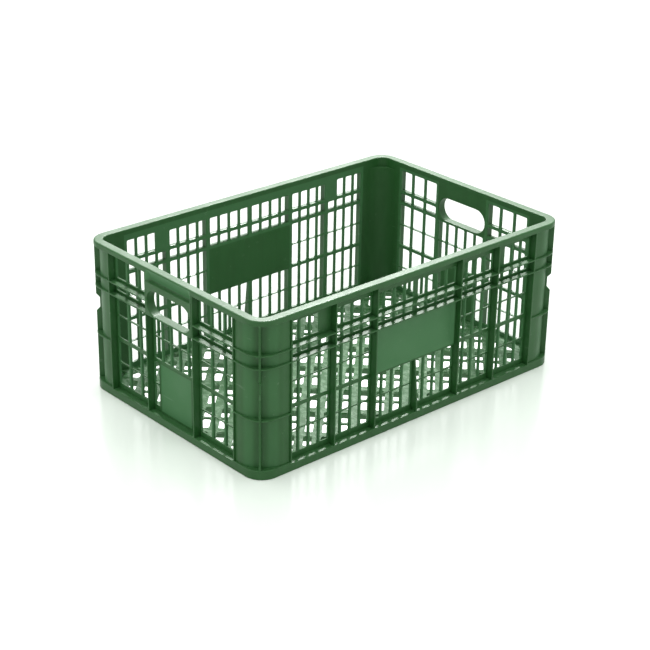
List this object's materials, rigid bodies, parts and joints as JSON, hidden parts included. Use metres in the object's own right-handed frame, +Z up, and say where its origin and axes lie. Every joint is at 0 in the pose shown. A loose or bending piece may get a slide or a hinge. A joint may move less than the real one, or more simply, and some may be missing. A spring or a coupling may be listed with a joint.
{
  "type": "produce crate",
  "caption": "Open rectangular moulded crate with vented lattice walls, hand holes in the end walls, hollow corner posts, a rolled rim and a diagonal grid floor.",
  "frame": {"origin": "centre of the footprint on the ground", "axes": "+X along the long walls, +Y along the end walls, +Z up"},
  "size_m": [0.6, 0.4, 0.24],
  "materials": {
    "moulding": "satin injection-moulded polyethylene"
  },
  "bodies": {
    "root": {"back_centre_bay": "moulding", "back_foot_rail": "moulding", "back_inner_bay_left": "moulding", "back_inner_bay_right": "moulding", "back_label_field": "moulding", "back_label_gusset": "moulding", "back_left_corner_post": "moulding", "back_outer_bay_left": "moulding", "back_outer_bay_right": "moulding", "back_right_corner_post": "moulding", "back_rim_rail": "moulding", "back_upright_rib_1": "moulding", "back_upright_rib_2": "moulding", "back_upright_rib_3": "moulding", "back_upright_rib_4": "moulding", "floor_grid": "moulding", "floor_ribs": "moulding", "front_centre_bay": "moulding", "front_foot_rail": "moulding", "front_inner_bay_left": "moulding", "front_inner_bay_right": "moulding", "front_label_field": "moulding", "front_label_gusset": "moulding", "front_left_corner_post": "moulding", "front_outer_bay_left": "moulding", "front_outer_bay_right": "moulding", "front_right_corner_post": "moulding", "front_rim_rail": "moulding", "front_upright_rib_1": "moulding", "front_upright_rib_2": "moulding", "front_upright_rib_3": "moulding", "front_upright_rib_4": "moulding", "left_foot_rail": "moulding", "left_handle_grille": "moulding", "left_handle_surround": "moulding", "left_label_field": "moulding", "left_rim_rail": "moulding", "left_side_bay_left": "moulding", "left_side_bay_right": "moulding", "left_slotted_cheek_left": "moulding", "left_slotted_cheek_right": "moulding", "left_upright_rib_1": "moulding", "left_upright_rib_2": "moulding", "right_foot_rail": "moulding", "right_handle_grille": "moulding", "right_handle_surround": "moulding", "right_label_field": "moulding", "right_rim_rail": "moulding", "right_side_bay_left": "moulding", "right_side_bay_right": "moulding", "right_slotted_cheek_left": "moulding", "right_slotted_cheek_right": "moulding", "right_upright_rib_1": "moulding", "right_upright_rib_2": "moulding"}
  },
  "joints": []
}
